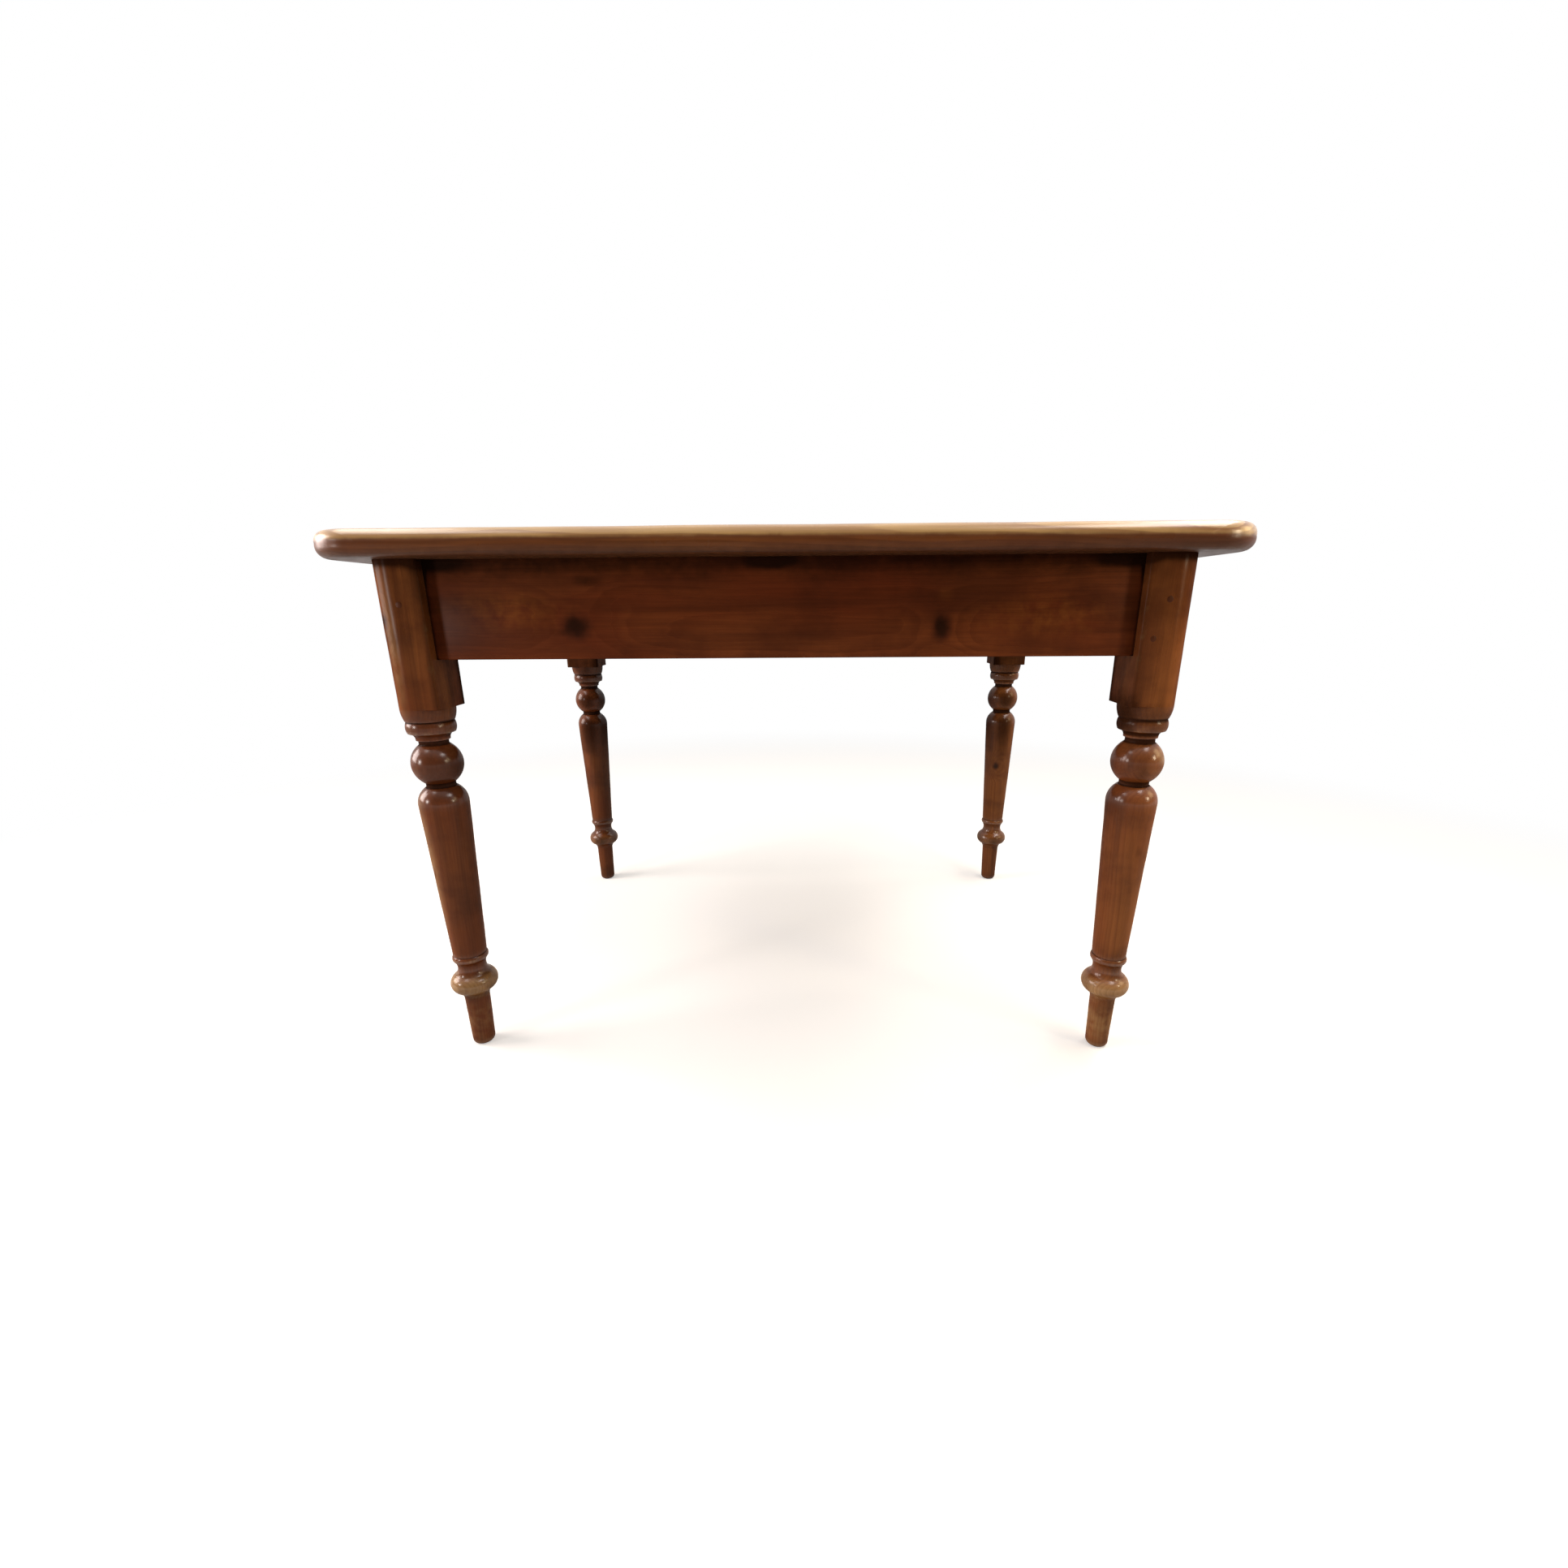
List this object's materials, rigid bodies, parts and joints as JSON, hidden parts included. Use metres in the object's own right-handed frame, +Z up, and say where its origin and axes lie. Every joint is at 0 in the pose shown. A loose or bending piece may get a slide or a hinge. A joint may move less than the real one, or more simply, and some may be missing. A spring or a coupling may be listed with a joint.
{
  "type": "kitchen table",
  "caption": "Rectangular kitchen table with a board top that has rounded corners, a deep plain apron and turned legs with square blocks at their heads.",
  "frame": {"origin": "on the floor, under the middle of the top", "axes": "+X along the table's length to the right as seen from its front, +Y from its front to its back, +Z up"},
  "size_m": [1.17, 0.825, 0.762],
  "materials": {
    "top_wood": "stained and waxed pine, rubbed through to a golden tone on its upper edge",
    "leg_wood": "stained and waxed pine, satin, rubbed paler on its swellings",
    "apron_wood": "stained and waxed pine, satin, mottled red-brown with dark knots",
    "peg_wood": "dark hardwood end grain, flush and waxed",
    "inner_wood": "bare pine, aged and dusty",
    "screw_steel": "dulled steel with slotted heads"
  },
  "bodies": {
    "root": {"leg_front_left": "leg_wood", "leg_front_right": "leg_wood", "leg_back_left": "leg_wood", "leg_back_right": "leg_wood", "apron_front": "apron_wood", "apron_back": "apron_wood", "apron_left": "apron_wood", "apron_right": "apron_wood", "pegs_front": "peg_wood", "pegs_back": "peg_wood", "pegs_left": "peg_wood", "pegs_right": "peg_wood", "glue_block_front_left_long": "inner_wood", "glue_block_front_left_short": "inner_wood", "glue_block_front_right_long": "inner_wood", "glue_block_front_right_short": "inner_wood", "glue_block_back_left_long": "inner_wood", "glue_block_back_left_short": "inner_wood", "glue_block_back_right_long": "inner_wood", "glue_block_back_right_short": "inner_wood", "buttons_front": "inner_wood", "buttons_back": "inner_wood", "buttons_left": "inner_wood", "buttons_right": "inner_wood", "bearer_left": "inner_wood", "bearer_right": "inner_wood", "top_board_1": "top_wood", "top_board_2": "top_wood", "top_board_3": "top_wood", "top_board_4": "top_wood", "top_board_5": "top_wood", "top_tongue_1": "inner_wood", "top_tongue_2": "inner_wood", "top_tongue_3": "inner_wood", "top_tongue_4": "inner_wood", "button_screws": "screw_steel", "bearer_screws": "screw_steel"}
  },
  "joints": []
}
